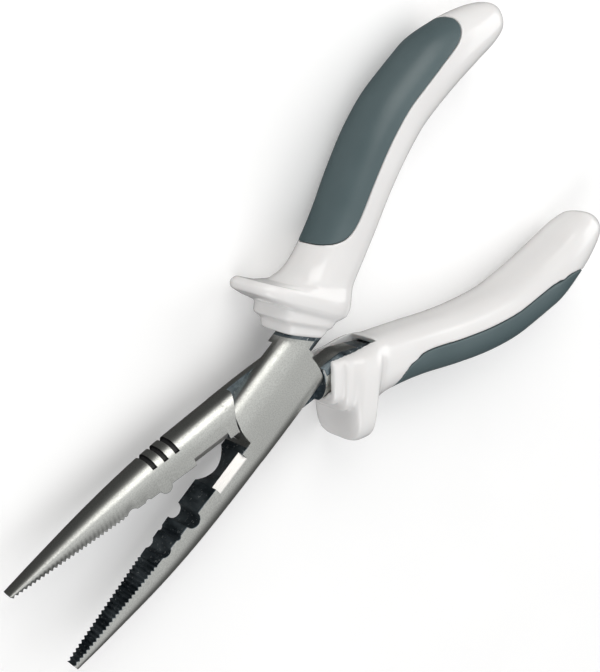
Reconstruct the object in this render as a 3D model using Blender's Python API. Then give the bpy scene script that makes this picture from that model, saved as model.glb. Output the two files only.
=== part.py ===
"""Fishing pliers: long-nose pliers with side cutters, a lap joint and two-colour moulded grips.

Every length below is in millimetres and MM turns it into metres. A lever is drawn closed: its jaw runs
along +X with the mating face at y = 0, and its handle runs along -X on the other side of y = 0. The front
lever is that drawing, the back lever is its mirror image, and both are then turned open about the pivot.
"""
import math

import bmesh
import bpy
from mathutils import Vector

MM = 0.001

# Joint
REST_HALF_ANGLE = 8.93
JOINT_HALF = 4.5
JOINT_HANDLE_SIDE = {"front": 8.3, "back": 7.5}
JOINT_JAW_SIDE = {"front": 7.5, "back": 8.4}
JOINT_EDGE_Z = 3.3
BOSS_R = 11.8
POCKET_R = 12.2
LAP_GAP = 0.15
RIVET_R = 4.0
RIVET_HEAD_R = 5.2
RIVET_GAP = 0.08
RIVET_BLIND_DEPTH = 3.2
CIRCLE_POINTS = 64

# Jaw: x, outer height of the front and back lever, half-thickness at the mating face, largest
# half-thickness, flat half-height outside
TIP_X = 72.0
MATING_GAP = 0.1
TOOTH_RISE = 0.2
JAW_STATIONS = (
    (TIP_X, 1.95, 1.22, 1.46, 1.50, 0.2),
    (66.0, 3.05, 2.37, 2.05, 2.10, 0.2),
    (60.0, 4.02, 3.48, 2.54, 2.60, 0.2),
    (54.0, 4.97, 4.53, 3.04, 3.10, 0.2),
    (48.0, 5.80, 5.45, 3.49, 3.55, 0.3),
    (42.0, 6.40, 6.25, 3.89, 3.95, 0.4),
    (36.0, 6.84, 6.95, 4.14, 4.20, 0.5),
    (30.0, 7.12, 7.43, 4.29, 4.35, 0.6),
    (22.0, 7.30, 7.76, 4.36, 4.42, 0.8),
    (14.0, 7.33, 8.06, 4.40, 4.44, 0.9),
    (5.0, 7.25, 8.30, 4.42, 4.44, 1.0),
)
JAW_WIDEN = {"front": 0.0, "back": 0.3}
BULGE_AT = 0.40

# Jaw details
CUTTER_X = (14.9, 24.5)
CUTTER_EDGE_Z = 2.8
CUTTER_SLOPE = (1.6, 1.45)
BITE_DEPTH = 2.6
BITE_REF_Z = -4.0
CRIMP_X = 32.8
CRIMP_NOTCH_R = 1.9
CRIMP_BUMP_R = 1.5
CRIMP_BUMP_RISE = 1.2
SMALL_NOTCHES = ((37.65, 1.3, 0.45), (41.7, 2.6, 0.7))
TEETH_FROM = {"front": 44.975, "back": 43.4}
TOOTH_PITCH = 1.05
TOOTH_DEPTH = 0.55
GROOVE_X = (27.0, 30.0, 33.0)
GROOVE_WIDTH = 1.2
GROOVE_DEPTH = 0.5
GROOVE_FROM_Y = 5.4

# Tang: x, outer y, inner y, half-thickness, rounding of the outer edges across and through, inner bevel
TANG_STATIONS = (
    (-2.0, -8.3, -0.6, 4.5, 4.15, 3.3, 0.8),
    (-8.0, -8.2, -0.5, 4.5, 4.1, 3.3, 1.6),
    (-12.0, -8.1, -0.4, 4.5, 4.0, 3.2, 1.8),
    (-16.0, -8.5, -0.3, 4.5, 3.4, 2.8, 1.8),
    (-18.6, -9.5, -0.3, 4.5, 2.8, 2.4, 1.8),
    (-21.0, -10.6, -1.1, 4.4, 2.2, 2.0, 1.6),
    (-25.0, -12.0, -2.7, 4.1, 1.8, 1.7, 1.4),
    (-30.0, -13.4, -5.2, 3.8, 1.4, 1.4, 0.8),
    (-40.0, -15.9, -9.6, 3.4, 1.0, 1.0, 0.8),
    (-50.0, -19.2, -13.4, 3.1, 1.0, 1.0, 0.8),
    (-60.0, -21.8, -16.4, 2.9, 1.0, 1.0, 0.8),
    (-70.0, -23.0, -18.2, 2.7, 1.0, 1.0, 0.8),
    (-80.0, -22.4, -18.0, 2.6, 1.0, 1.0, 0.8),
    (-90.0, -20.2, -16.2, 2.5, 1.0, 1.0, 0.8),
)
TANG_JOINT_X = -14.0
TANG_INSET = 0.12
TANG_GAP = 0.15

# Grip sections: outer x and y, inner x and y, half-thickness, squareness outside and inside
GUARD = {
    "front": (
        (-11.2, -9.7, -16.5, -1.7, 6.0, 4.4, 4.4),
        (-11.0, -10.5, -16.8, -1.6, 6.7, 4.4, 4.4),
        (-12.5, -11.9, -18.9, -1.5, 6.9, 4.4, 4.2),
        (-12.2, -14.3, -19.8, -1.2, 7.8, 4.0, 4.0),
        (-14.3, -15.8, -21.4, -1.3, 8.0, 4.0, 4.0),
        (-13.0, -19.6, -22.7, -0.6, 8.6, 3.8, 4.0),
        (-12.3, -22.8, -24.0, 0.0, 9.0, 3.8, 4.0),
        (-13.3, -24.0, -25.6, -0.3, 9.1, 3.8, 4.0),
        (-15.0, -23.6, -26.8, -1.0, 8.9, 3.6, 4.0),
        (-16.5, -20.4, -28.4, -2.0, 8.4, 3.2, 3.8),
        (-19.4, -17.1, -30.2, -3.0, 7.9, 2.6, 3.4),
    ),
    "back": (
        (-10.4, -8.6, -14.8, 0.8, 5.7, 4.4, 4.4),
        (-10.4, -9.2, -15.0, 0.9, 6.3, 4.4, 4.4),
        (-12.2, -9.8, -17.4, 0.1, 6.6, 4.4, 4.2),
        (-11.8, -11.8, -18.0, -0.1, 7.5, 4.4, 4.0),
        (-13.4, -12.6, -19.6, -0.6, 7.8, 4.4, 4.0),
        (-11.6, -16.8, -21.0, -1.0, 8.6, 3.8, 4.0),
        (-10.8, -19.5, -22.2, -1.2, 9.1, 3.8, 4.0),
        (-11.9, -20.4, -23.8, -1.5, 9.3, 3.8, 4.0),
        (-14.8, -21.3, -25.2, -1.7, 9.4, 3.6, 4.0),
        (-15.8, -18.9, -26.8, -2.0, 9.1, 3.2, 3.8),
        (-17.8, -16.4, -28.4, -2.4, 8.3, 2.6, 3.4),
    ),
}
HANDLE = (
    (-24.4, -16.2, -32.4, -3.8, 7.7, 2.3, 3.2),
    (-31.0, -17.3, -36.4, -5.2, 7.8, 2.2, 3.2),
    (-38.6, -19.5, -42.8, -7.4, 8.0, 2.2, 3.2),
    (-47.6, -22.9, -52.0, -10.6, 8.2, 2.2, 3.2),
    (-58.4, -26.3, -61.4, -13.0, 8.3, 2.2, 3.2),
    (-69.4, -28.1, -70.4, -14.2, 8.3, 2.2, 3.2),
    (-81.0, -28.0, -79.0, -13.9, 8.2, 2.2, 3.2),
    (-91.6, -25.0, -88.2, -13.0, 7.9, 2.2, 3.0),
    (-98.4, -22.0, -95.0, -12.0, 7.2, 2.2, 2.8),
    (-102.2, -19.6, -99.4, -11.8, 6.0, 2.2, 2.6),
    (-103.9, -17.8, -102.2, -13.0, 3.8, 2.1, 2.4),
    (-104.3, -16.6, -103.8, -14.8, 1.4, 2.0, 2.0),
)
HANDLE_SHIFT = {"front": (0.0, 0.0), "back": (1.8, 0.4)}
RING_POINTS = 32
SLOT_X = (-29.4, -2.0)
SLOT_HALF = 4.75

# Inlay, along the grip as station numbers and round it in degrees from the outer side
INLAY_SPAN = {"front": (11.95, 18.1), "back": (11.6, 18.15)}
INLAY_HALF_ANGLE = {"front": 83.0, "back": 93.0}
INLAY_DEPTH = 1.6
INLAY_GAP = 0.15
INLAY_STEPS = (14, 26)

FAR = 30.0


def clear_scene():
    for obj in list(bpy.data.objects):
        bpy.data.objects.remove(obj, do_unlink=True)


def solid(name, rings):
    """A closed body through rings of equally many points."""
    mesh = bmesh.new()
    rows = [[mesh.verts.new(Vector(point) * MM) for point in ring] for ring in rings]
    count = len(rows[0])
    for row, following in zip(rows, rows[1:]):
        for i in range(count):
            j = (i + 1) % count
            mesh.faces.new((row[i], row[j], following[j], following[i]))
    mesh.faces.new(rows[0][::-1])
    mesh.faces.new(rows[-1])
    bmesh.ops.recalc_face_normals(mesh, faces=mesh.faces)
    data = bpy.data.meshes.new(name)
    mesh.to_mesh(data)
    mesh.free()
    obj = bpy.data.objects.new(name, data)
    bpy.context.scene.collection.objects.link(obj)
    return obj


def prism(name, outline, axis, low, high):
    """An outline of two coordinates pushed along axis x or z from low to high."""
    if axis == "z":
        return solid(name, [[(u, v, level) for u, v in outline] for level in (low, high)])
    return solid(name, [[(level, u, v) for u, v in outline] for level in (low, high)])


def disc(name, radius, low, high):
    outline = [
        (radius * math.cos(2 * math.pi * i / CIRCLE_POINTS), radius * math.sin(2 * math.pi * i / CIRCLE_POINTS))
        for i in range(CIRCLE_POINTS)
    ]
    return prism(name, outline, "z", low, high)


def combine(target, tool, operation):
    """Apply one Boolean and drop the tool."""
    modifier = target.modifiers.new(operation, "BOOLEAN")
    modifier.object = tool
    modifier.operation = operation
    modifier.solver = "EXACT"
    depsgraph = bpy.context.evaluated_depsgraph_get()
    depsgraph.update()
    data = bpy.data.meshes.new_from_object(target.evaluated_get(depsgraph))
    target.modifiers.clear()
    target.data = data
    bpy.data.objects.remove(tool, do_unlink=True)
    return target


def arc(centre_x, centre_y, radius, start, end, count):
    """Points on an arc, from start to end in degrees."""
    points = []
    for i in range(count + 1):
        angle = math.radians(start + (end - start) * i / count)
        points.append((centre_x + radius * math.cos(angle), centre_y + radius * math.sin(angle)))
    return points


def jaw_ring(x, height, face_half, most_half, flat, shrink=0.0):
    """A jaw section: flat mating face, nearly flat sides and a round back."""
    low = shrink - TOOTH_RISE
    bulge = max(height * BULGE_AT, low + 0.2)
    top = height - shrink
    side = most_half - shrink
    flat_half = max(flat - shrink, 0.1)
    half = [(low, face_half - shrink)]
    for i in range(9):
        turn = math.radians(90 * i / 8)
        half.append((bulge + (top - bulge) * math.sin(turn), flat_half + (side - flat_half) * math.cos(turn)))
    mirrored = [(y, -z) for y, z in reversed(half)]
    return [(x, y, z) for y, z in half + mirrored]


def make_jaw(name, side, shrink=0.0):
    rings = []
    for x, high_front, high_back, face_half, most_half, flat in JAW_STATIONS:
        height = high_front if side == "front" else high_back
        widen = JAW_WIDEN[side] * x / TIP_X
        rings.append(jaw_ring(x, height, face_half + widen, most_half + widen, flat, shrink))
    return solid(name, rings)


def rounded_edge(edge, across, through, half, grow=0.0):
    """A quarter of an ellipse from the long side of a bar to its flat face, as (distance from y = 0, z)."""
    points = []
    for i in range(7):
        turn = math.radians(90 * i / 6)
        y = edge - across + (across + grow) * math.cos(turn)
        z = half - through + (through + grow) * math.sin(turn)
        points.append((y, z))
    return points


def make_joint_plate(name, side):
    """The joint: a bar with round long edges, cut to the boss circle at both ends."""
    jaw_side = JOINT_JAW_SIDE[side]
    above = rounded_edge(jaw_side, jaw_side / 2, JOINT_EDGE_Z, JOINT_HALF)
    handle_side = JOINT_HANDLE_SIDE[side]
    below = rounded_edge(handle_side, handle_side / 2, JOINT_EDGE_Z, JOINT_HALF)
    half = [(-y, z) for y, z in below] + above[::-1]
    outline = half + [(y, -z) for y, z in reversed(half)]
    plate = prism(name, outline, "x", -BOSS_R - 2, BOSS_R + 2)
    return combine(plate, disc("boss_circle", BOSS_R, -FAR, FAR), "INTERSECT")


def tang_ring(x, outer, inner, half, across, through, bevel, grow=0.0):
    high = inner + grow
    z = half + grow
    half_ring = [(-y, level) for y, level in rounded_edge(-outer, across, through, half, grow)]
    half_ring += [(high - bevel, z), (high, z - bevel)]
    mirrored = [(y, -level) for y, level in reversed(half_ring)]
    return [(x, y, level) for y, level in half_ring + mirrored]


def make_tang(name, side, grow=0.0):
    rings = []
    for x, outer, *rest in TANG_STATIONS:
        if x > TANG_JOINT_X:
            outer = max(outer, TANG_INSET - JOINT_HANDLE_SIDE[side])
        rings.append(tang_ring(x, outer, *rest, grow=grow))
    last = TANG_STATIONS[-1]
    if grow:
        rings.append(tang_ring(last[0] - grow, *last[1:], grow=grow))
    return solid(name, rings)


def cut_pocket(lever, side):
    """Clear half of the joint's thickness for the other lever's boss."""
    if side == "front":
        tool = disc("pocket", POCKET_R, -FAR, LAP_GAP / 2)
    else:
        tool = disc("pocket", POCKET_R, -LAP_GAP / 2, FAR)
    return combine(lever, tool, "DIFFERENCE")


def cut_cutter(lever):
    """The side cutter: a bevel ground on the front and a hollow behind the edge."""
    start, end = CUTTER_X
    run, rise = CUTTER_SLOPE
    low = MATING_GAP - 3 * run
    high = MATING_GAP + 3 * run
    bevel = [(low, CUTTER_EDGE_Z - 3 * rise), (high, CUTTER_EDGE_Z + 3 * rise), (low, CUTTER_EDGE_Z + 3 * rise)]
    combine(lever, prism("bevel", bevel, "x", start, end), "DIFFERENCE")
    rings = []
    for z in (CUTTER_EDGE_Z, BITE_REF_Z - 2):
        depth = BITE_DEPTH * (CUTTER_EDGE_Z - z) / (CUTTER_EDGE_Z - BITE_REF_Z)
        ring = [(start, -2.0, z)]
        for i in range(13):
            share = i / 12
            rise_here = depth * math.sin(math.pi * share) ** 0.8 if 0 < share < 1 else 0.0
            ring.append((start + (end - start) * share, MATING_GAP + rise_here, z))
        ring.append((end, -2.0, z))
        rings.append(ring)
    return combine(lever, solid("bite", rings), "DIFFERENCE")


def notch_bottom(centre_x, width, depth):
    """The round bottom of a shallow notch in the mating face."""
    radius = width * width / 8 / depth + depth / 2
    reach = math.degrees(math.asin(width / 2 / radius))
    return arc(centre_x, MATING_GAP + depth - radius, radius, 90 + reach, 90 - reach, 8)


def mating_profile(side):
    """The mating face from the joint to the tip: flat, the crimp seat, small notches and teeth."""
    points = [(BOSS_R - 1.0, MATING_GAP)]
    if side == "front":
        points += arc(CRIMP_X, MATING_GAP, CRIMP_NOTCH_R, 180, 0, 16)
    for notch in SMALL_NOTCHES:
        points += notch_bottom(*notch)
    start = TEETH_FROM[side]
    points.append((start, MATING_GAP))
    for i in range(int((TIP_X + 1 - start) / TOOTH_PITCH)):
        x = start + i * TOOTH_PITCH
        points.append((x + TOOTH_PITCH * 0.25, TOOTH_DEPTH - TOOTH_RISE))
        points.append((x + TOOTH_PITCH * 0.75, -TOOTH_RISE))
    return points


def cut_mating_face(lever, side):
    """Cut the mating face to its profile, and add the back jaw's crimping ridge."""
    profile = mating_profile(side)
    outline = [(profile[0][0], -4.0)] + profile + [(profile[-1][0], -4.0)]
    combine(lever, prism("mating", outline, "z", -FAR, FAR), "DIFFERENCE")
    if side == "back":
        ridge = arc(CRIMP_X, CRIMP_BUMP_R - CRIMP_BUMP_RISE, CRIMP_BUMP_R, 0, 360, 24)[:-1]
        combine(lever, prism("ridge", ridge, "z", -3.85, 3.85), "UNION")
    return lever


def cut_grooves(lever):
    """Three shallow channels over the round back of the jaw."""
    half = GROOVE_WIDTH / 2
    for x in GROOVE_X:
        outline = [(x - half, GROOVE_FROM_Y), (x + half, GROOVE_FROM_Y), (x + half, FAR), (x - half, FAR)]
        tool = prism("groove", outline, "z", -FAR, FAR)
        combine(tool, make_jaw("jaw_core", "back", GROOVE_DEPTH), "DIFFERENCE")
        combine(lever, tool, "DIFFERENCE")
    return lever


def cut_bore(lever, side):
    """The rivet's hole: blind in the front lever, countersunk through the back one."""
    radius = RIVET_R + RIVET_GAP
    if side == "front":
        tool = disc("bore", radius, -FAR, RIVET_BLIND_DEPTH + RIVET_GAP)
    else:
        tool = disc("bore", radius, -FAR, FAR)
        combine(tool, rivet_head("countersink", RIVET_GAP), "UNION")
    return combine(lever, tool, "DIFFERENCE")


def rivet_head(name, grow=0.0):
    """The countersunk head in the back face, widening outwards at 45 degrees."""
    depth = RIVET_HEAD_R - RIVET_R
    rings = []
    for level, radius in (
        (-JOINT_HALF + depth, RIVET_R + grow - 0.02),
        (-JOINT_HALF - 0.0, RIVET_HEAD_R + grow),
        (-JOINT_HALF - (2.0 if grow else 0.0) - 0.01, RIVET_HEAD_R + grow),
    ):
        rings.append([(*point, level) for point in arc(0, 0, radius, 0, 360, CIRCLE_POINTS)[:-1]])
    return solid(name, rings)


def make_rivet():
    shank = disc("pivot_rivet", RIVET_R, -JOINT_HALF + 0.05, RIVET_BLIND_DEPTH)
    return combine(shank, rivet_head("head"), "UNION")


def make_lever(name, side):
    lever = make_jaw(name, side)
    combine(lever, make_joint_plate("plate", side), "UNION")
    combine(lever, make_tang("tang", side), "UNION")
    cut_pocket(lever, side)
    cut_cutter(lever)
    cut_mating_face(lever, side)
    if side == "back":
        cut_grooves(lever)
    cut_bore(lever, side)
    return lever


def grip_stations(side):
    shift_x, shift_y = HANDLE_SHIFT[side]
    handle = [(a + shift_x, b + shift_y, c + shift_x, d + shift_y, *rest) for a, b, c, d, *rest in HANDLE]
    return list(GUARD[side]) + handle


def grip_station(side, number):
    """The grip's section values at a station number, which may lie between two stations."""
    stations = grip_stations(side)
    low = min(int(number), len(stations) - 2)
    share = number - low
    return [a + (b - a) * share for a, b in zip(stations[low], stations[low + 1])]


def grip_point(side, number, degrees, offset=0.0):
    """A point on the grip at an angle from its outer side, moved outwards by offset."""
    outer_x, outer_y, inner_x, inner_y, half, square_out, square_in = grip_station(side, number)
    middle = Vector(((outer_x + inner_x) / 2, (outer_y + inner_y) / 2, 0))
    reach = Vector(((outer_x - inner_x) / 2, (outer_y - inner_y) / 2, 0))
    cosine = math.cos(math.radians(degrees))
    sine = math.sin(math.radians(degrees))
    power = 2 / (square_out if cosine > 0 else square_in)
    along = math.copysign(abs(cosine) ** power, cosine)
    across = math.copysign(abs(sine) ** power, sine)
    width = reach.length + offset
    point = middle + reach.normalized() * width * along
    point.z = (half + offset) * across
    return point


def make_grip_body(name, side):
    rings = []
    for number in range(len(grip_stations(side))):
        rings.append([grip_point(side, number, 360 * i / RING_POINTS) for i in range(RING_POINTS)])
    return solid(name, rings)


def inlay_solid(name, side, grow, proud):
    """The inlay's curved slab between two depths, with rounded ends."""
    rows, columns = INLAY_STEPS
    first, last = INLAY_SPAN[side]
    top = []
    bottom = []
    for i in range(columns + 1):
        share = math.sin(math.pi * (i / columns - 0.5))
        number = (first + last) / 2 + share * ((last - first) / 2 + grow * 0.12)
        reach = INLAY_HALF_ANGLE[side] * math.sqrt(1 - 0.97 * share**8) + grow * 7
        angles = [reach * (2 * j / rows - 1) for j in range(rows + 1)]
        top.append([grip_point(side, number, angle, proud) for angle in angles])
        bottom.append([grip_point(side, number, angle, -INLAY_DEPTH - grow) for angle in angles])
    return slab(name, top, bottom)


def slab(name, top, bottom):
    """A closed body between two grids of points."""
    rings = [upper + lower[::-1] for upper, lower in zip(top, bottom)]
    return solid(name, rings)


def cut_slot(grip, side):
    """The slot in the inner side of the collar, open towards the joint, which shows the tang."""
    start, end = SLOT_X
    start += HANDLE_SHIFT[side][0]
    outline = [(start, -SLOT_HALF), (start, SLOT_HALF), (end, SLOT_HALF), (end, -SLOT_HALF)]
    rings = [[(x, y, z) for x, z in outline] for y in (-6.6, 8.0)]
    return combine(grip, solid("slot", rings), "DIFFERENCE")


def make_grip(name, side):
    grip = make_grip_body(name, side)
    combine(grip, make_tang("tang_room", side, TANG_GAP), "DIFFERENCE")
    cut_slot(grip, side)
    combine(grip, inlay_solid("inlay_room", side, INLAY_GAP, 1.0), "DIFFERENCE")
    return grip


def flip(obj):
    """Mirror a mesh in y, for the back lever's pieces."""
    data = bmesh.new()
    data.from_mesh(obj.data)
    for vertex in data.verts:
        vertex.co.y = -vertex.co.y
    bmesh.ops.reverse_faces(data, faces=data.faces)
    data.to_mesh(obj.data)
    data.free()
    return obj


def finish(obj, colour, roughness, metallic, turn):
    """Give a piece its material and smooth shading, and turn it open about the pivot."""
    material = bpy.data.materials.new(obj.name)
    material.use_nodes = True
    shader = material.node_tree.nodes["Principled BSDF"]
    shader.inputs["Base Color"].default_value = (*colour, 1)
    shader.inputs["Roughness"].default_value = roughness
    shader.inputs["Metallic"].default_value = metallic
    obj.data.materials.clear()
    obj.data.materials.append(material)
    obj.data.shade_smooth()
    obj.data.set_sharp_from_angle(angle=math.radians(35))
    obj.rotation_euler.z = math.radians(turn)
    obj.location.z = -JOINT_HALF * MM
    return obj


STEEL = ((0.56, 0.57, 0.55), 0.32, 1.0)
WHITE = ((0.88, 0.87, 0.86), 0.3, 0.0)
SLATE = ((0.085, 0.125, 0.13), 0.45, 0.0)


def main():
    clear_scene()
    finish(make_rivet(), *STEEL, REST_HALF_ANGLE)
    for side, turn in (("front", REST_HALF_ANGLE), ("back", -REST_HALF_ANGLE)):
        pieces = (
            (make_lever(f"{side}_lever", side), STEEL),
            (make_grip(f"{side}_grip", side), WHITE),
            (inlay_solid(f"{side}_inlay", side, 0.0, 0.0), SLATE),
        )
        for piece, look in pieces:
            if side == "back":
                flip(piece)
            finish(piece, *look, turn)


main()
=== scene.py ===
"""Fishing pliers: fine surfaces, materials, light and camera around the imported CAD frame.

Lengths in the shape code are millimetres. A lever is drawn closed, its jaw along +X with the mating face
at y = 0 and its handle along -X below y = 0. "front" is that drawing and "back" its mirror image; each is
then turned open about the pivot and set so that the joint's front face lies at z = 0.
"""
import math

import bmesh
import bpy
import numpy as np
from mathutils import Matrix, Vector


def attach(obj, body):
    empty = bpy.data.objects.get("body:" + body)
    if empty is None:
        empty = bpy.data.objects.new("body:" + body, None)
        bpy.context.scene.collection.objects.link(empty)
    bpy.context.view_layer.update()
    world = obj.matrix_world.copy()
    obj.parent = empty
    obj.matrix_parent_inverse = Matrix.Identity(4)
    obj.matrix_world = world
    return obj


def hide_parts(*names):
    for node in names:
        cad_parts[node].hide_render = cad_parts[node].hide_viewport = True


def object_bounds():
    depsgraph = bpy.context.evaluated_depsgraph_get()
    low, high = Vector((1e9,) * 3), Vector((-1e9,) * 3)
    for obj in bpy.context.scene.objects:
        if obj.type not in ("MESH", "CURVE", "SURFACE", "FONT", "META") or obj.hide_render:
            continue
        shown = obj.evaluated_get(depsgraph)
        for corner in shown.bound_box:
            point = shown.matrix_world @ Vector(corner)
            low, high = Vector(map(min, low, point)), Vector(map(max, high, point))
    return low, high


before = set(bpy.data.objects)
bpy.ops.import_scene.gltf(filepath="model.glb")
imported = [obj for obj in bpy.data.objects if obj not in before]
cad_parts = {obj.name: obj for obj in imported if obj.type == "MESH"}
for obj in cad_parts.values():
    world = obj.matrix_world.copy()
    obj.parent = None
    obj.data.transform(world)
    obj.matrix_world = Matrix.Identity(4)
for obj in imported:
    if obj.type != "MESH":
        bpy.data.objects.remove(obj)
CAD_BOX = [list(corner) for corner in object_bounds()]

MM = 0.001
FAR = 30.0  # past every surface that a cutter has to clear
SIDES = ("front", "back")
OPEN_DEG = {"front": 8.93, "back": -8.93}
BODY = {"front": "front_body", "back": "back_body"}

# Joint: half the steel's thickness, how far each lever reaches to either side, the boss and the pocket that it
# turns in, and the rivet's hole
HALF = 4.5
HANDLE_SIDE = {"front": -8.3, "back": -7.62}
JAW_SIDE = {"front": 7.5, "back": 8.4}
BOSS_R = 11.8
POCKET_R = 12.2
LAP_GAP = 0.15
JOINT_CHAMFER = 0.14
JOINT_FLAT = 1.2
CORNER_X = 13.2
SINK_R = 4.08
SINK_DEPTH = 1.2

# Jaw: x, outer height of the front and back lever, half-thickness at the mating face, largest half-thickness,
# half-width of the flat outside
TIP_X = 72.0
JAW = np.array((
    (72.0, 1.95, 1.22, 1.46, 1.50, 0.2),
    (66.0, 3.05, 2.37, 2.05, 2.10, 0.2),
    (60.0, 4.02, 3.48, 2.54, 2.60, 0.2),
    (54.0, 4.97, 4.53, 3.04, 3.10, 0.2),
    (48.0, 5.80, 5.45, 3.49, 3.55, 0.3),
    (42.0, 6.40, 6.25, 3.89, 3.95, 0.4),
    (36.0, 6.84, 6.95, 4.14, 4.20, 0.5),
    (30.0, 7.12, 7.43, 4.29, 4.35, 0.6),
    (22.0, 7.30, 7.76, 4.40, 4.46, 0.8),
    (14.0, 7.33, 8.06, 4.46, 4.50, 1.0),
    (5.0, 7.25, 8.30, 4.50, 4.50, 1.2),
))[::-1]
JAW_FROM = 12.6
JAW_WIDEN = {"front": 0.0, "back": 0.3}
JAW_TUCK = {"front": 0.0, "back": 0.5}
TUCK_X = (26.0, 46.0)
BULGE_AT = {"front": 0.40, "back": 0.55}
BULGE_X = (12.0, 26.0)
JAW_EDGE = 0.14

# Mating face, from the joint outwards: side cutter, crimp seat and bump, two notches (x, width, depth), teeth
FACE_Y = 0.1
CUTTER = (14.9, 24.5)
CUTTER_Z = 2.8
CUTTER_AT_HALF = 4.25
CUTTER_SLOPE = 1.6 / 1.45
BITE_DEPTH = 2.6
BITE_OVER = 6.8
CRIMP_X = 32.8
CRIMP_R = {"front": 1.9, "back": 1.5}
CRIMP_LIFT = 0.3
NOTCHES = ((37.65, 1.3, 0.45), (41.7, 2.6, 0.7))
TEETH_FROM = {"front": 44.975, "back": 43.4}
TOOTH_PITCH = 1.05
TOOTH_TOP = -0.2
TOOTH_ROOT = 0.35
TOOTH_SHARPNESS = 1.12

# Grooves across the back jaw's outer side
GROOVE_X = (27.0, 30.0, 33.0)
GROOVE_WIDTH = 1.2
GROOVE_DEPTH = 0.5
GROOVE_FROM_Y = 5.4

# Tang: x, outer y, inner y, half-thickness, rounding across and through, inner bevel
TANG = np.array((
    (-12.6, -8.3, -0.4, 4.5, 5.4, 3.3, 1.8),
    (-16.0, -8.6, -0.3, 4.5, 4.4, 2.9, 1.8),
    (-18.6, -9.5, -0.3, 4.5, 3.4, 2.4, 1.8),
    (-21.0, -10.6, -1.1, 4.4, 2.4, 2.0, 1.6),
    (-25.0, -12.0, -2.7, 4.1, 1.8, 1.7, 1.4),
    (-30.0, -13.4, -5.2, 3.8, 1.4, 1.4, 0.8),
    (-40.0, -15.9, -9.6, 3.4, 1.0, 1.0, 0.8),
    (-60.0, -21.8, -16.4, 2.9, 1.0, 1.0, 0.8),
    (-90.0, -20.2, -16.2, 2.5, 1.0, 1.0, 0.8),
))[::-1]
TANG_SLIM_X = (-18.6, -12.6)
TANG_ROUND = 1.15
TANG_DARK_FROM = -24.0
TANG_ROOM_GAP = 0.15
# width of the strip of painted shade along the front collar's rim
COLLAR_SHADE_WIDTH = 1.0

# Grip: outer x and y, inner x and y, half-thickness, squareness outside and inside
GUARD = {
    "front": (
        (-11.2, -9.7, -16.5, -1.7, 6.0, 4.4, 4.4),
        (-11.0, -10.5, -16.8, -1.6, 6.7, 4.4, 4.4),
        (-12.5, -11.9, -18.9, -1.5, 6.9, 4.4, 4.2),
        (-12.2, -14.3, -19.8, -1.2, 7.8, 4.0, 4.0),
        (-14.3, -15.8, -21.4, -1.3, 8.0, 4.0, 4.0),
        (-13.0, -19.6, -22.7, -0.6, 8.6, 3.8, 4.0),
        (-12.3, -22.8, -24.0, 0.0, 9.0, 3.8, 4.0),
        (-13.3, -24.0, -25.6, -0.3, 9.1, 3.8, 4.0),
        (-15.0, -23.6, -26.8, -1.0, 8.9, 3.6, 4.0),
        (-16.5, -20.4, -28.4, -2.0, 8.4, 3.2, 3.8),
        (-19.4, -17.1, -30.2, -3.0, 7.9, 2.6, 3.4),
    ),
    "back": (
        (-10.4, -8.6, -14.8, 0.8, 5.7, 4.4, 4.4),
        (-10.4, -9.2, -15.0, 0.9, 6.3, 4.4, 4.4),
        (-12.2, -9.8, -17.4, 0.1, 6.6, 4.4, 4.2),
        (-11.8, -11.8, -18.0, -0.1, 7.5, 4.4, 4.0),
        (-13.4, -12.6, -19.6, -0.6, 7.8, 4.4, 4.0),
        (-11.6, -16.8, -21.0, -1.0, 8.6, 3.8, 4.0),
        (-10.8, -19.5, -22.2, -1.2, 9.1, 3.8, 4.0),
        (-11.9, -20.4, -23.8, -1.5, 9.3, 3.8, 4.0),
        (-14.8, -21.3, -25.2, -1.7, 9.4, 3.6, 4.0),
        (-15.8, -18.9, -26.8, -2.0, 9.1, 3.2, 3.8),
        (-17.8, -16.4, -28.4, -2.4, 8.3, 2.6, 3.4),
    ),
}
HANDLE = (
    (-24.4, -16.2, -32.4, -3.8, 7.7, 2.3, 3.2),
    (-31.0, -17.3, -36.4, -5.2, 7.8, 2.2, 3.2),
    (-38.6, -19.5, -42.8, -7.4, 8.0, 2.2, 3.2),
    (-47.6, -22.9, -52.0, -10.6, 8.2, 2.2, 3.2),
    (-58.4, -26.3, -61.4, -13.0, 8.3, 2.2, 3.2),
    (-69.4, -27.85, -70.4, -14.2, 8.3, 2.2, 3.2),
    (-81.0, -27.8, -79.0, -13.9, 8.2, 2.2, 3.2),
    (-91.6, -25.0, -88.2, -13.0, 7.9, 2.2, 3.0),
    (-98.4, -22.0, -95.0, -12.0, 7.2, 2.2, 2.8),
    (-102.2, -19.6, -99.4, -11.8, 6.0, 2.2, 2.6),
    (-103.9, -17.8, -102.2, -13.0, 3.8, 2.1, 2.4),
    (-104.3, -16.6, -103.8, -14.8, 1.4, 2.0, 2.0),
)
HANDLE_SHIFT = {"front": (0.0, 0.0), "back": (1.8, 0.4)}
GRIP_TURNS = 160
STEP_TO = 10
STEP_ROUND = 0.45
STEP_SHARE = 0.45
SLOT_X = (-29.4, -2.0)
SLOT_HALF = 4.75
GRIP_VOXEL = 0.0003

# Inlay: first and last grip section that it spans, half angle that it covers, depth
INLAY_SPAN = {"front": (11.95, 18.1), "back": (11.6, 18.15)}
INLAY_ANGLE = {"front": 83.0, "back": 93.0}
INLAY_DEPTH = 1.6
INLAY_ROOM_GAP = 0.15
INLAY_PROUD = 0.02
INLAY_EDGE = 0.3
INLAY_EDGE_DROP = 0.22

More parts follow.
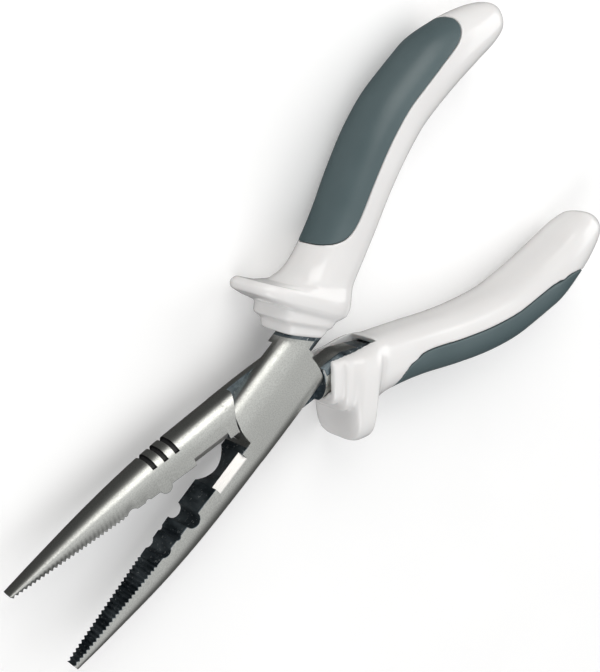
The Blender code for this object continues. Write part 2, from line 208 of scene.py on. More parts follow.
# Stage: the camera's place in metres and its angles in degrees, and the grey of the sky from below to above
CAMERA_AT = (0.09211, -0.1695, 0.25719)
CAMERA_TURN = (-12.4886, -34.8121, 144.1044)
CAMERA_LENS = 77.93
FLOOR_HALF = 3.0
SKY = ((0.0, 0.055), (0.4, 0.16), (0.92, 0.80))
WARM = (1, 0.985, 0.96)
NEUTRAL = (1, 1, 1)

# Softboxes: direction from the scene's middle, distance, size, radiance, colour
SOFTBOXES = (
    ((-0.32, -0.80, 0.50), 0.9, (0.6, 0.75), 2.5, WARM),
    ((-0.9, 0.15, 0.45), 1.0, (0.8, 0.7), 2.2, NEUTRAL),
    ((0.8, 0.1, 0.6), 1.1, (0.7, 0.7), 2.6, NEUTRAL),
)


# ---------------------------------------------------------------- materials

def new_material(name):
    material = bpy.data.materials.new(name)
    material.use_nodes = True
    tree = material.node_tree
    return material, tree, tree.nodes["Principled BSDF"]


def noise(tree, scale, detail, coords, rough=0.5):
    node = tree.nodes.new("ShaderNodeTexNoise")
    node.inputs["Scale"].default_value = scale
    node.inputs["Detail"].default_value = detail
    node.inputs["Roughness"].default_value = rough
    tree.links.new(coords, node.inputs["Vector"])
    return node.outputs["Fac"]


def ramp(tree, value, low, high, from_low=0.3, from_high=0.7):
    """Map a value between two numbers or two colours."""
    if isinstance(low, tuple):
        node = tree.nodes.new("ShaderNodeValToRGB")
        for element, position, colour in zip(node.color_ramp.elements, (from_low, from_high), (low, high)):
            element.position = position
            element.color = (*colour, 1)
        tree.links.new(value, node.inputs["Fac"])
        return node.outputs["Color"]
    node = tree.nodes.new("ShaderNodeMapRange")
    node.inputs["From Min"].default_value = from_low
    node.inputs["From Max"].default_value = from_high
    node.inputs["To Min"].default_value = low
    node.inputs["To Max"].default_value = high
    tree.links.new(value, node.inputs["Value"])
    return node.outputs["Result"]


def bump(tree, shader, height, distance, strength):
    node = tree.nodes.new("ShaderNodeBump")
    node.inputs["Distance"].default_value = distance
    node.inputs["Strength"].default_value = strength
    tree.links.new(height, node.inputs["Height"])
    tree.links.new(node.outputs["Normal"], shader.inputs["Normal"])


def object_coords(tree, stretch=(1, 1, 1)):
    source = tree.nodes.new("ShaderNodeTexCoord")
    mapping = tree.nodes.new("ShaderNodeMapping")
    mapping.inputs["Scale"].default_value = stretch
    tree.links.new(source.outputs["Object"], mapping.inputs["Vector"])
    return mapping.outputs["Vector"]


def satin_steel(name, base, roughness):
    """Bead-blasted and plated steel: a fine speckle over slow changes of shade."""
    material, tree, shader = new_material(name)
    coords = object_coords(tree)
    shader.inputs["Metallic"].default_value = 1.0
    fine = noise(tree, 3400, 2, coords, 0.7)
    broad = noise(tree, 70, 3, coords)
    mix = tree.nodes.new("ShaderNodeMix")
    mix.data_type = "RGBA"
    mix.blend_type = "MULTIPLY"
    mix.inputs["Factor"].default_value = 1.0
    tree.links.new(ramp(tree, broad, tuple(channel * 0.92 for channel in base), base), mix.inputs["A"])
    tree.links.new(ramp(tree, fine, (0.80, 0.80, 0.80), (1.0, 1.0, 1.0), 0.35, 0.60), mix.inputs["B"])
    tree.links.new(mix.outputs["Result"], shader.inputs["Base Color"])
    tree.links.new(ramp(tree, fine, roughness + 0.10, roughness - 0.05), shader.inputs["Roughness"])
    bump(tree, shader, fine, 0.00003, 0.5)
    return material


def oxide_steel(name):
    """Blued steel with streaks across the teeth and bright worn specks."""
    material, tree, shader = new_material(name)
    shader.inputs["Metallic"].default_value = 0.85
    speck = noise(tree, 1500, 2, object_coords(tree), 0.6)
    broad = noise(tree, 300, 3, object_coords(tree, (1, 1, 0.35)), 0.6)
    dark = ramp(tree, broad, (0.045, 0.062, 0.074), (0.17, 0.205, 0.225), 0.42, 0.64)
    mix = tree.nodes.new("ShaderNodeMix")
    mix.data_type = "RGBA"
    mix.inputs["B"].default_value = (0.50, 0.53, 0.54, 1)
    tree.links.new(ramp(tree, speck, 0.0, 1.0, 0.63, 0.70), mix.inputs["Factor"])
    tree.links.new(dark, mix.inputs["A"])
    tree.links.new(mix.outputs["Result"], shader.inputs["Base Color"])
    tree.links.new(ramp(tree, broad, 0.24, 0.46), shader.inputs["Roughness"])
    bump(tree, shader, speck, 0.00004, 0.6)
    return material


def ground_steel(name):
    """Ground cutter face: bright, with fine lines across it."""
    material, tree, shader = new_material(name)
    coords = object_coords(tree, (1, 1, 14))
    shader.inputs["Metallic"].default_value = 1.0
    lines = noise(tree, 900, 2, coords)
    tree.links.new(ramp(tree, lines, (0.66, 0.65, 0.63), (0.80, 0.79, 0.77)), shader.inputs["Base Color"])
    tree.links.new(ramp(tree, lines, 0.32, 0.48), shader.inputs["Roughness"])
    bump(tree, shader, lines, 0.00001, 0.6)
    return material


def groove_shade(name):
    """Painted shade in the jaw's grooves: a near-black matt colour."""
    material, tree, shader = new_material(name)
    coords = object_coords(tree)
    grain = noise(tree, 2500, 2, coords)
    tree.links.new(ramp(tree, grain, (0.006, 0.006, 0.007), (0.016, 0.016, 0.018)), shader.inputs["Base Color"])
    tree.links.new(ramp(tree, grain, 0.45, 0.65), shader.inputs["Roughness"])
    bump(tree, shader, grain, 0.00002, 0.5)
    return material


def white_plastic(name):
    """Glossy moulded plastic that light enters a little."""
    material, tree, shader = new_material(name)
    coords = object_coords(tree)
    broad = noise(tree, 35, 3, coords)
    fine = noise(tree, 1400, 2, coords)
    tree.links.new(ramp(tree, broad, (0.80, 0.79, 0.785), (0.84, 0.832, 0.825)), shader.inputs["Base Color"])
    tree.links.new(ramp(tree, broad, 0.16, 0.26), shader.inputs["Roughness"])
    shader.inputs["Subsurface Weight"].default_value = 0.12
    shader.inputs["Subsurface Radius"].default_value = (0.0012, 0.001, 0.0009)
    shader.inputs["Subsurface Scale"].default_value = 1.0
    shader.inputs["IOR"].default_value = 1.5
    shader.inputs["Coat Weight"].default_value = 0.35
    shader.inputs["Coat Roughness"].default_value = 0.08
    bump(tree, shader, fine, 0.000008, 0.25)
    return material


def slate_rubber(name):
    """Soft slate-grey inlay with a fine grain."""
    material, tree, shader = new_material(name)
    coords = object_coords(tree)
    broad = noise(tree, 60, 3, coords)
    fine = noise(tree, 3800, 3, coords, 0.6)
    tree.links.new(ramp(tree, broad, (0.072, 0.108, 0.116), (0.090, 0.128, 0.136)), shader.inputs["Base Color"])
    tree.links.new(ramp(tree, fine, 0.34, 0.46), shader.inputs["Roughness"])
    bump(tree, shader, fine, 0.00002, 0.35)
    return material


def pale_floor(name):
    """A matt floor that gives off a little light, so that shadows on it stay faint."""
    material, tree, shader = new_material(name)
    grain = noise(tree, 40, 2, object_coords(tree))
    colour = (0.93, 0.93, 0.93)
    faint = tuple(channel * 0.985 for channel in colour)
    tree.links.new(ramp(tree, grain, faint, colour), shader.inputs["Base Color"])
    shader.inputs["Roughness"].default_value = 0.9
    shader.inputs["Emission Color"].default_value = (1, 1, 1, 1)
    shader.inputs["Emission Strength"].default_value = 0.1
    return material


STEEL = satin_steel("satin_steel", (0.66, 0.67, 0.64), 0.36)
OXIDE = oxide_steel("oxide_steel")
GROUND = ground_steel("ground_steel")
# near-black painted shade for the jaw's grooves
GROOVE_SHADE = groove_shade("groove_shade")
WHITE = white_plastic("white_plastic")
SLATE = slate_rubber("slate_rubber")

LEVER_LOOKS = (STEEL, OXIDE, GROUND, GROOVE_SHADE)
SATIN_NUMBER, OXIDE_NUMBER, GROUND_NUMBER, GROOVE_SHADE_NUMBER = range(4)


# ---------------------------------------------------------------- mesh helpers

def place(points, side):
    """Turn canonical millimetres into the row frame's metres."""
    points = np.array(points, float)
    if side == "back":
        points[:, 1] *= -1
    turn = math.radians(OPEN_DEG[side])
    x = points[:, 0] * math.cos(turn) - points[:, 1] * math.sin(turn)
    y = points[:, 0] * math.sin(turn) + points[:, 1] * math.cos(turn)
    return np.stack((x, y, points[:, 2] - HALF), 1) * MM


def between(at, start, end):
    """How far a value has come from start to end, from 0 to 1."""
    return min(max((at - start) / (end - start), 0.0), 1.0)


def loft(name, rings, slots=None, centre_caps=False, looks=LEVER_LOOKS):
    """A closed body through rings of equally many points; slots gives each face a material number."""
    rings = [np.asarray(ring, float) for ring in rings]
    count = len(rings[0])
    points = np.concatenate(rings)
    faces = []
    numbers = []
    for i in range(len(rings) - 1):
        for j in range(count):
            k = (j + 1) % count
            faces.append((i * count + j, i * count + k, (i + 1) * count + k, (i + 1) * count + j))
            numbers.append(0 if slots is None else int(slots[i][j]))
    last = (len(rings) - 1) * count
    if centre_caps:
        points = np.concatenate((points, rings[0].mean(0)[None], rings[-1].mean(0)[None]))
        for j in range(count):
            k = (j + 1) % count
            faces.append((len(points) - 2, k, j))
            faces.append((len(points) - 1, last + j, last + k))
            numbers += [0, 0]
    else:
        faces.append(tuple(range(count - 1, -1, -1)))
        faces.append(tuple(range(last, last + count)))
        numbers += [0, 0]
    mesh = bpy.data.meshes.new(name)
    mesh.from_pydata([tuple(point) for point in points], [], faces)
    mesh.polygons.foreach_set("material_index", numbers)
    data = bmesh.new()
    data.from_mesh(mesh)
    bmesh.ops.recalc_face_normals(data, faces=data.faces)
    data.to_mesh(mesh)
    data.free()
    obj = bpy.data.objects.new(name, mesh)
    bpy.context.scene.collection.objects.link(obj)
    for material in looks:
        mesh.materials.append(material)
    return obj


def applied(obj):
    """Replace an object's mesh by what its modifiers make of it."""
    depsgraph = bpy.context.evaluated_depsgraph_get()
    depsgraph.update()
    data = bpy.data.meshes.new_from_object(obj.evaluated_get(depsgraph))
    obj.modifiers.clear()
    obj.data = data
    return obj


def cut(target, tool, operation="DIFFERENCE"):
    modifier = target.modifiers.new("cut", "BOOLEAN")
    modifier.object = tool
    modifier.operation = operation
    modifier.solver = "EXACT"
    applied(target)
    bpy.data.objects.remove(tool, do_unlink=True)
    return target


def paint(obj, number):
    """Give every face the same material number, which a cut leaves on the faces that it makes."""
    obj.data.polygons.foreach_set("material_index", [number] * len(obj.data.polygons))
    return obj


def prism(name, outline_at, levels):
    """A body along z whose outline grows by a given amount at each level."""
    return loft(name, [[(x, y, z) for x, y in outline_at(grow)] for z, grow in levels])


def arc(radius, start, end, count):
    turns = np.radians(np.linspace(start, end, count + 1))
    return [(radius * math.cos(turn), radius * math.sin(turn)) for turn in turns]


def spline(xs, ys, at):
    """A smooth curve through points that never overshoots them; ys may have several columns."""
    xs = np.asarray(xs, float)
    ys = np.asarray(ys, float).reshape(len(xs), -1)
    width = np.diff(xs)[:, None]
    rise = np.diff(ys, axis=0) / width
    inner = (rise[:-1] * width[1:] + rise[1:] * width[:-1]) / (width[1:] + width[:-1])
    slopes = np.concatenate((rise[:1], inner, rise[-1:]))
    for i in range(1, len(xs) - 1):
        least = np.minimum(abs(rise[i - 1]), abs(rise[i]))
        slopes[i] = np.where(rise[i - 1] * rise[i] <= 0, 0.0, np.clip(slopes[i], -3 * least, 3 * least))
    i = min(max(int(np.searchsorted(xs, at)) - 1, 0), len(xs) - 2)
    span = width[i, 0]
    t = between(at, xs[i], xs[i + 1])
    start = (2 * t**3 - 3 * t**2 + 1) * ys[i] + (t**3 - 2 * t**2 + t) * span * slopes[i]
    return start + (3 * t**2 - 2 * t**3) * ys[i + 1] + (t**3 - t**2) * span * slopes[i + 1]


def settle(obj, side, body, node, sharp):
    """Move a finished canonical mesh into place and hand it to the frame."""
    count = len(obj.data.vertices)
    points = np.zeros(count * 3)
    obj.data.vertices.foreach_get("co", points)
    points = place(points.reshape(-1, 3), side)
    obj.data.vertices.foreach_set("co", points.reshape(-1))
    if side == "back":
        data = bmesh.new()
        data.from_mesh(obj.data)
        bmesh.ops.reverse_faces(data, faces=data.faces)
        data.to_mesh(obj.data)
        data.free()
    obj.data.update()
    obj.data.shade_smooth()
    obj.data.set_sharp_from_angle(angle=math.radians(sharp))
    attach(obj, body)
    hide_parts(node)
    return obj


# ---------------------------------------------------------------- lever

def mating_y(side, x, z, face_half):
    """Height of the mating face of a jaw at x along it and z across it."""
    if x < CUTTER[0] or CUTTER[1] < x < CUTTER[1] + 0.02:
        return FACE_Y + 0.02
    edge_z = CUTTER_Z * face_half / CUTTER_AT_HALF
    if x <= CUTTER[1]:
        if z > edge_z:
            return FACE_Y + (z - edge_z) * CUTTER_SLOPE
        depth = BITE_DEPTH * max(math.sin(math.pi * between(x, *CUTTER)), 0.0) ** 0.8
        return FACE_Y + depth * (edge_z - z) / BITE_OVER
    away = abs(x - CRIMP_X)
    radius = CRIMP_R[side]
    if away < radius:
        rise = math.sqrt(radius**2 - away**2)
        return FACE_Y + rise if side == "front" else min(FACE_Y, CRIMP_LIFT - rise)
    for centre, width, depth in NOTCHES:
        if abs(x - centre) < width / 2:
            radius = width * width / 8 / depth + depth / 2
            return FACE_Y + depth - radius + math.sqrt(radius**2 - (x - centre) ** 2)
    start = TEETH_FROM[side]
    if x > start:
        phase = (x - start) / TOOTH_PITCH % 1.0
        wave = abs((phase + 0.75) % 1.0 * 2 - 1)
        soft = min(max((wave - 0.5) * TOOTH_SHARPNESS + 0.5, 0.0), 1.0)
        return TOOTH_TOP + (TOOTH_ROOT - TOOTH_TOP) * soft
    return FACE_Y


def jaw_samples(side):
    """Where the jaw is sectioned: close together wherever the mating face steps or curves."""
    xs = [12.62, CORNER_X, 14.0, 14.86, CUTTER[0]]
    xs += list(np.linspace(CUTTER[0] + 0.02, CUTTER[1] - 0.02, 30))
    xs += [CUTTER[1], CUTTER[1] + 0.02, CUTTER[1] + 0.06]
    xs += list(np.linspace(25.0, 30.0, 8))
    xs += [CRIMP_X - CRIMP_R[side] * math.cos(math.pi * i / 24) for i in range(25)]
    xs += list(np.linspace(35.1, 36.6, 4))
    for centre, width, _ in NOTCHES:
        xs += [centre - width / 2 * math.cos(math.pi * i / 12) for i in range(13)]
    start = TEETH_FROM[side]
    count = int((TIP_X - start) / TOOTH_PITCH)
    for i in range(count + 1):
        for share in (0.02, 0.19, 0.25, 0.31, 0.5, 0.69, 0.75, 0.81):
            xs.append(start + (i + share) * TOOTH_PITCH)
    xs += [71.2, 71.5, 71.75, 71.9, 71.97, TIP_X]
    return sorted(x for x in set(round(x, 4) for x in xs) if x <= TIP_X)


# Points of a section: round its two low edges, on each side of the split, up each flank, round each shoulder
EDGE_TURNS = np.radians(np.linspace(90, 12, 7))
INSIDE = 9
FLANK = 4
CROWN_TURNS = np.radians(np.linspace(0, 90, 12))
LOW_COLUMNS = len(EDGE_TURNS) * 2 + INSIDE * 2 - 1
SPLIT_COLUMN = len(EDGE_TURNS) + INSIDE - 1
CROWN_COLUMN = LOW_COLUMNS + FLANK - 2


def section(low_at, across, through, edge, split, top, bulge, flat, widest, power):
    """One closed lever section, as (y, z).

    low_at is the low side's height at z. It ends at z = -edge and edge, where the rounding reaches through
    along z and across along y. The flanks swell to the half-thickness widest at the height bulge and close
    over the top, with a flat of half-width flat there. A column of points lies at z = split.
    """
    inner = edge - through
    z_low = [-inner - through * math.sin(turn) for turn in EDGE_TURNS]
    z_in = list(np.linspace(-inner, split, INSIDE)) + list(np.linspace(split, inner, INSIDE))[1:]
    z_high = [inner + through * math.sin(turn) for turn in EDGE_TURNS[::-1]]
    points = []
    for z in z_low + z_in + z_high:
        over = max(abs(z) - inner, 0.0) / through
        points.append((low_at(z) + across * (1 - math.sqrt(max(1 - over * over, 0.0))), z))
    start_y = points[-1][0]
    back_y = points[0][0]
    front = []
    rear = []
    for i in range(1, FLANK):
        share = i / FLANK
        swell = math.sin(share * math.pi / 2)
        front.append((start_y + (bulge - start_y) * share, edge + (widest - edge) * swell))
        rear.append((back_y + (bulge - back_y) * share, -edge - (widest - edge) * swell))
    crown = []
    for turn in CROWN_TURNS:
        along = math.sin(turn) ** (2 / power)
        over = math.cos(turn) ** (2 / power)
        crown.append((bulge + (top - bulge) * along, flat + (widest - flat) * over))
    mirrored = [(y, -z) for y, z in crown[::-1]]
    return points + front + crown + mirrored + rear[::-1]


def jaw_values(side, x):
    high_front, high_back, face_half, most_half, flat = spline(JAW[:, 0], JAW[:, 1:], x)
    widen = JAW_WIDEN[side] * x / TIP_X
    tuck = JAW_TUCK[side] * between(x, *TUCK_X)
    height = high_front if side == "front" else high_back
    return height, face_half + widen - tuck, most_half + widen, flat


def jaw_section(side, x, shrink=0.0):
    """The jaw at x; shrink draws the plain core that is left under a groove."""
    height, face_half, most_half, flat = jaw_values(side, x)
    height -= shrink
    most_half -= shrink
    tipward = between(x, *BULGE_X)
    bulge = JAW_SIDE[side] / 2 * (1 - tipward) + height * BULGE_AT[side] * tipward
    edge = min(JAW_EDGE, face_half * 0.2)
    split = CUTTER_Z * face_half / CUTTER_AT_HALF

    def low_at(z):
        return -1.0 if shrink else mating_y(side, x, z, face_half)

    flat = max(flat - shrink, 0.1)
    yz = section(low_at, edge, edge, face_half - shrink, split, height, bulge, flat, most_half, power=2)
    return [(x, y, z) for y, z in yz]


def joint_section(side, x):
    top = JAW_SIDE[side]
    if x > 0:
        top += (jaw_values(side, JAW_FROM)[0] - top) * (x / JAW_FROM) ** 2
    across, through = TANG[-1, 4:6]
    bulge = JAW_SIDE[side] / 2
    yz = section(lambda z: HANDLE_SIDE[side], across, through, HALF, 0.0, top, bulge, JOINT_FLAT, HALF, power=2)
    return [(x, y, z) for y, z in yz]


def tang_values(side, x):
    outer, inner, half, across, through, bevel = spline(TANG[:, 0], TANG[:, 1:], x)
    outer += (HANDLE_SIDE[side] - HANDLE_SIDE["front"]) * between(x, *TANG_SLIM_X)
    return outer, inner, half, across, through, bevel


def tang_section(side, x, at=None, gap=0.0):
    """The tang at x; at takes the sizes from another place, and gap draws the room around the tang."""
    outer, inner, half, across, through, bevel = tang_values(side, x if at is None else at)
    yz = section(
        lambda z: outer - gap, across, through, half + gap, 0.0,
        inner + gap, inner - bevel, half - bevel, half + gap, TANG_ROUND,
    )
    return [(x, y, z) for y, z in yz]


def flared(name, outline_at):
    """A cutter whose outline widens at both faces of the joint, which leaves a small chamfer."""
    rim = HALF - JOINT_CHAMFER
    out = HALF + 0.01
    wide = JOINT_CHAMFER
    return prism(name, outline_at, ((-FAR, wide), (-out, wide), (-rim, 0.0), (rim, 0.0), (out, wide), (FAR, wide)))


def jaw_corner(grow):
    """Outline of what is cut away beside the boss, on the handle side of the jaw's root."""
    outline = arc(BOSS_R - grow, 0.7, -50, 40)
    return outline + [(outline[-1][0], -FAR), (CORNER_X, -FAR), (CORNER_X, FACE_Y + 0.045)]


def tang_corner(grow):
    """Outline of what is cut away beside the boss, on the jaw side of the tang's root."""
    outline = arc(BOSS_R - grow, 182.1, 130, 40)
    return outline + [(outline[-1][0], FAR), (-CORNER_X, FAR), (-CORNER_X, -0.43)]


def pocket_outline(grow):
    return arc(POCKET_R + grow, 0.7, 360.7, 192)[:-1]


def pocket_tool(side):
    """A cutter for the half of the joint that the other lever fills."""
    rim = HALF - JOINT_CHAMFER
    out = HALF + 0.01
    wide = JOINT_CHAMFER
    if side == "front":
        levels = ((-FAR, wide), (-out, wide), (-rim, 0.0), (-LAP_GAP / 2, 0.0))
    else:
        levels = ((LAP_GAP / 2, 0.0), (rim, 0.0), (out, wide), (FAR, wide))
    return paint(prism("pocket", pocket_outline, levels), OXIDE_NUMBER)


def groove_tool(side, x):
    """A ring segment around the jaw's core."""
    low, high = x - GROOVE_WIDTH / 2, x + GROOVE_WIDTH / 2
    outline = [(low, GROOVE_FROM_Y), (high, GROOVE_FROM_Y), (high, FAR), (low, FAR)]
    tool = prism("groove", lambda grow: outline, ((-FAR, 0.0), (FAR, 0.0)))
    cut(tool, loft("core", [jaw_section(side, at, GROOVE_DEPTH) for at in np.linspace(x - 3, x + 3, 5)]))
    # the groove's faces take the near-black painted shade
    return paint(tool, GROOVE_SHADE_NUMBER)


def turned(name, profile, centre_caps=False):
    """A body of revolution about the pivot, from pairs of level and radius."""
    rings = [[(x, y, level) for x, y in arc(radius, 0, 360, 128)[:-1]] for level, radius in profile]
    return loft(name, rings, centre_caps=centre_caps)


def countersink():
    """A cutter for the rivet's hole, with a 45 degree seat that runs out past the back face."""
    wide = SINK_R + SINK_DEPTH
    levels = ((FAR, SINK_R), (-HALF + SINK_DEPTH, SINK_R), (-HALF, wide), (-HALF - 2, wide + 2))
    return turned("countersink", levels)


def lever_numbers(xs_tang, xs_joint, xs_jaw, count):
    """Material number of each face between one section and the next."""
    numbers = np.full((len(xs_tang) + len(xs_joint) + len(xs_jaw), count), SATIN_NUMBER)
    for i, x in enumerate(xs_tang):
        if x < TANG_DARK_FROM:
            numbers[i, :] = OXIDE_NUMBER
        else:
            numbers[i, CROWN_COLUMN : CROWN_COLUMN + len(CROWN_TURNS)] = OXIDE_NUMBER
    for i, x in enumerate(xs_jaw, len(xs_tang) + len(xs_joint)):
        numbers[i, : LOW_COLUMNS - 1] = OXIDE_NUMBER
        if CUTTER[0] <= x < CUTTER[1] - 0.01:
            numbers[i, SPLIT_COLUMN : LOW_COLUMNS - 1] = GROUND_NUMBER
    return numbers


def make_lever(side):
    xs_tang = [-90.0, -75.0, -60.0, -50.0, -40.0, -35.0] + list(np.linspace(-32.0, -12.6, 40))
    xs_joint = list(np.linspace(-12.58, JAW_FROM, 33))
    xs_jaw = jaw_samples(side)
    rings = [tang_section(side, x) for x in xs_tang]
    rings += [joint_section(side, x) for x in xs_joint]
    rings += [jaw_section(side, x) for x in xs_jaw]
    lever = loft(f"{side}_lever_fine", rings, lever_numbers(xs_tang, xs_joint, xs_jaw, len(rings[0])))
    cut(lever, pocket_tool(side))
    cut(lever, flared("jaw_corner", jaw_corner))
    cut(lever, flared("tang_corner", tang_corner))
    if side == "front":
        # painted shade under the front collar's rim
        paint_collar_shade(lever)
    else:
        for x in GROOVE_X:
            cut(lever, groove_tool(side, x))
        cut(lever, countersink())
    return lever


def paint_collar_shade(lever):
    """Paint a narrow strip of shade, with the oxide steel, on the front lever's steel along its collar's rim."""
    rim, far_side = np.array(GUARD["front"][0][:2]), np.array(GUARD["front"][0][2:4])
    along = (far_side - rim) / np.hypot(*(far_side - rim))
    towards_jaw = Vector((along[1], -along[0], 0))
    edge = Vector((*rim, 0)) + towards_jaw * COLLAR_SHADE_WIDTH
    data = bmesh.new()
    data.from_mesh(lever.data)
    everything = data.verts[:] + data.edges[:] + data.faces[:]
    bmesh.ops.bisect_plane(data, geom=everything, plane_co=edge, plane_no=towards_jaw)
    # faces on the handle side of the plane take the oxide steel as painted shade beside the collar
    for face in data.faces:
        if (face.calc_center_median() - edge).dot(towards_jaw) < 0:
            face.material_index = OXIDE_NUMBER
    data.to_mesh(lever.data)
    data.free()


def make_rivet():
    """A turned rivet: shank, countersunk head and a slightly dished face."""
    shank = ((3.15, 3.7), (2.9, 4.0), (-3.3, 4.0))
    head = ((-4.38, 5.08), (-4.47, 5.12), (-4.5, 5.02))
    face = ((-4.52, 3.6), (-4.5, 2.2), (-4.46, 1.0), (-4.44, 0.35))
    return turned("rivet_fine", shank + head + face, centre_caps=True)


# ---------------------------------------------------------------- grip

def grip_stations(side):
    """The grip's sections with small round corners on the steps and a smooth run along the handle."""
    shift = np.array(HANDLE_SHIFT[side] * 2 + (0.0,) * 3)
    stations = np.concatenate((np.array(GUARD[side]), np.array(HANDLE) + shift))
    numbers = [0.0]
    values = [stations[0]]
    for i in range(1, STEP_TO + 1):
        here = stations[i]
        before = stations[i - 1] - here
        after = stations[i + 1] - here
        back = min(STEP_SHARE, STEP_ROUND / max(np.hypot(*before[:2]), np.hypot(*before[2:4]), 0.01))
        on = min(STEP_SHARE, STEP_ROUND / max(np.hypot(*after[:2]), np.hypot(*after[2:4]), 0.01))
        for t in np.linspace(0, 1, 6):
            numbers.append(i - back + t * (back + on))
            values.append(here + (1 - t) ** 2 * before * back + t**2 * after * on)
    along = np.arange(STEP_TO - 1, len(stations))
    for at in np.arange(STEP_TO + 0.6, len(stations) - 0.999, 0.1):
        numbers.append(at)
        values.append(spline(along, stations[STEP_TO - 1 :], at))
    return np.array(numbers), np.array(values)


STATIONS = {side: grip_stations(side) for side in SIDES}


def grip_values(side, number):
    """The grip's section at a station number, which may lie between two stations."""
    numbers, values = STATIONS[side]
    return np.array([np.interp(number, numbers, column) for column in values.T])


def grip_point(values, degrees, offset=0.0):
    """A point on a grip section at an angle from its outer side, moved outwards by offset."""
    outer_x, outer_y, inner_x, inner_y, half, square_out, square_in = values
    middle = np.array(((outer_x + inner_x) / 2, (outer_y + inner_y) / 2))
    reach = np.array(((outer_x - inner_x) / 2, (outer_y - inner_y) / 2))
    cosine = math.cos(math.radians(degrees))
    sine = math.sin(math.radians(degrees))
    power = 2 / (square_out if cosine > 0 else square_in)
    along = math.copysign(abs(cosine) ** power, cosine)
    across = math.copysign(abs(sine) ** power, sine)
    length = float(np.hypot(*reach))
    point = middle + reach / length * (length + offset) * along
    return (point[0], point[1], (half + offset) * across)


def tang_room(side):
    """The hole for the tang, a little longer than the tang at both ends."""
    xs = list(np.linspace(-92.0, -32.0, 7)) + list(np.linspace(-30.0, -8.0, 20))
    first, last = TANG[0, 0], TANG[-1, 0]
    rings = [tang_section(side, x, min(max(x, first), last), TANG_ROOM_GAP) for x in xs]
    return loft("tang_room", rings, looks=(WHITE,))


def slot_tool(side):
    end = SLOT_X[0] + HANDLE_SHIFT[side][0]
    outline = [(end, -SLOT_HALF), (end, SLOT_HALF), (SLOT_X[1], SLOT_HALF), (SLOT_X[1], -SLOT_HALF)]
    return loft("slot", [[(x, y, z) for x, z in outline] for y in (-6.6, 8.0)], looks=(WHITE,))


def inlay_reach(side, share, grow):
    """Half angle that the inlay covers at a share from -1, its joint end, to 1, its far end."""
    return INLAY_ANGLE[side] * math.sqrt(1 - 0.97 * share**8) + grow * 7


def inlay_mesh(name, side, grow, proud, deep, looks=(SLATE,)):
    """The inlay's curved slab; its top edge is rounded when it is the piece itself."""
    first, last = INLAY_SPAN[side]
    rows = 40
    columns = 90
    rings = []
    for i in range(columns + 1):
        share = math.sin((2 * i / columns - 1) * math.pi / 2)
        number = (first + last) / 2 + share * ((last - first) / 2 + grow * 0.12)
        values = grip_values(side, number)
        reach = inlay_reach(side, share, grow)
        top = []
        bottom = []
        for j in range(rows + 1):
            v = math.sin((2 * j / rows - 1) * math.pi / 2)
            angle = reach * v
            edge = min((1 - abs(v)) * reach * 0.14, (1 - abs(share)) * 28.0)
            over = max(1 - edge / INLAY_EDGE, 0.0)
            sink = 0.0 if grow else -INLAY_EDGE_DROP * (1 - math.sqrt(max(1 - over**2, 0.0)))
            top.append(grip_point(values, angle, proud + sink))
            bottom.append(grip_point(values, angle, -deep))
        rings.append(top + bottom[::-1])
    return loft(name, rings, looks=looks)


def make_grip(side):
    """The hard shell with its tang hole, slot and inlay room; an even remesh then softens every edge."""
    angles = [360 * i / GRIP_TURNS for i in range(GRIP_TURNS)]
    rings = [[grip_point(grip_values(side, number), angle) for angle in angles] for number in STATIONS[side][0]]
    grip = loft(f"{side}_grip_fine", rings, centre_caps=True, looks=(WHITE,))
    cut(grip, tang_room(side))
    cut(grip, slot_tool(side))
    cut(grip, inlay_mesh("room", side, INLAY_ROOM_GAP, 1.0, INLAY_DEPTH + INLAY_ROOM_GAP, (WHITE,)))
    grip.data.transform(Matrix.Scale(MM, 4))
    remesh = grip.modifiers.new("even", "REMESH")
    remesh.mode = "VOXEL"
    remesh.voxel_size = GRIP_VOXEL
    soften = grip.modifiers.new("soften", "SMOOTH")
    soften.factor = 0.5
    soften.iterations = 4
    applied(grip)
    grip.data.transform(Matrix.Scale(1 / MM, 4))
    return grip


# ---------------------------------------------------------------- pieces

for side in SIDES:
    settle(make_lever(side), side, BODY[side], f"{side}_lever", 30.0)
    settle(make_grip(side), side, BODY[side], f"{side}_grip", 180.0)
    inlay = inlay_mesh(f"{side}_inlay_fine", side, 0.0, INLAY_PROUD, INLAY_DEPTH)
    settle(inlay, side, BODY[side], f"{side}_inlay", 60.0)
settle(make_rivet(), "front", BODY["front"], "pivot_rivet", 30.0)


# ---------------------------------------------------------------- stage

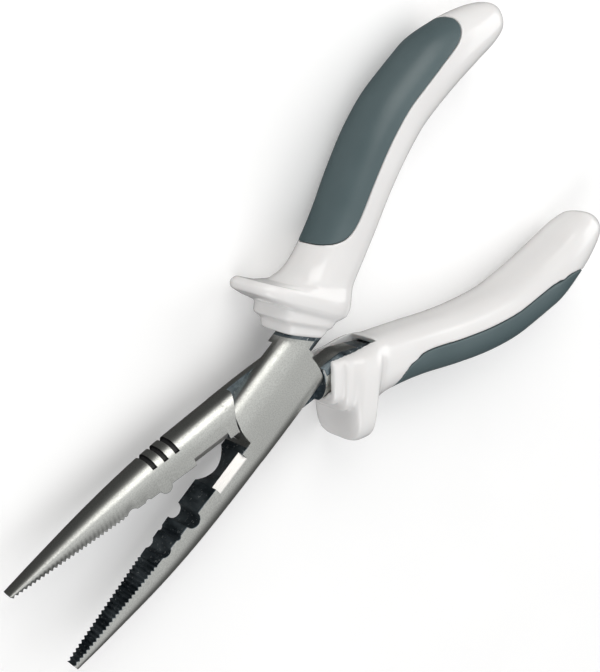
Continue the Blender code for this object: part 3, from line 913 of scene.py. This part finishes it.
def make_floor():
    """A floor just under the object, which glossy rays don't see, so that the steel keeps its dark limb."""
    low = CAD_BOX[0][2] - 0.0002
    corners = [(x * FLOOR_HALF, y * FLOOR_HALF, low) for x, y in ((-1, -1), (1, -1), (1, 1), (-1, 1))]
    mesh = bpy.data.meshes.new("floor")
    mesh.from_pydata(corners, [], [(0, 1, 2, 3)])
    floor = bpy.data.objects.new("floor", mesh)
    bpy.context.scene.collection.objects.link(floor)
    mesh.materials.append(pale_floor("floor_pale"))
    floor.visible_glossy = False


def softbox(direction, distance, size, radiance, colour):
    """A rectangular light that faces the middle of the scene and looks equally bright at any size."""
    light = bpy.data.lights.new("softbox", "AREA")
    light.shape = "RECTANGLE"
    light.size = size[0]
    light.size_y = size[1]
    light.energy = radiance * math.pi * size[0] * size[1]
    light.color = colour
    lamp = bpy.data.objects.new("softbox", light)
    bpy.context.scene.collection.objects.link(lamp)
    away = Vector(direction).normalized()
    lamp.location = away * distance
    lamp.rotation_euler = (-away).to_track_quat("-Z", "Y").to_euler()


def make_light():
    """A sky that is dark below and pale above, with one warm key and two wide fills."""
    world = bpy.data.worlds.new("studio")
    bpy.context.scene.world = world
    world.use_nodes = True
    tree = world.node_tree
    source = tree.nodes.new("ShaderNodeTexCoord")
    split = tree.nodes.new("ShaderNodeSeparateXYZ")
    sky = tree.nodes.new("ShaderNodeValToRGB")
    tree.links.new(source.outputs["Generated"], split.inputs["Vector"])
    tree.links.new(split.outputs["Z"], sky.inputs["Fac"])
    tree.links.new(sky.outputs["Color"], tree.nodes["Background"].inputs["Color"])
    sky.color_ramp.elements.new(SKY[1][0])
    for element, (position, grey) in zip(sky.color_ramp.elements, SKY):
        element.position = position
        element.color = (grey, grey, grey, 1)
    for box in SOFTBOXES:
        softbox(*box)
    bpy.context.scene.view_settings.view_transform = "Standard"


def make_camera():
    camera = bpy.data.cameras.new("camera")
    camera.sensor_width = 36.0
    camera.lens = CAMERA_LENS
    camera.clip_start = 0.01
    holder = bpy.data.objects.new("camera", camera)
    bpy.context.scene.collection.objects.link(holder)
    holder.location = CAMERA_AT
    holder.rotation_euler = [math.radians(angle) for angle in CAMERA_TURN]
    bpy.context.scene.camera = holder


make_floor()
make_light()
make_camera()
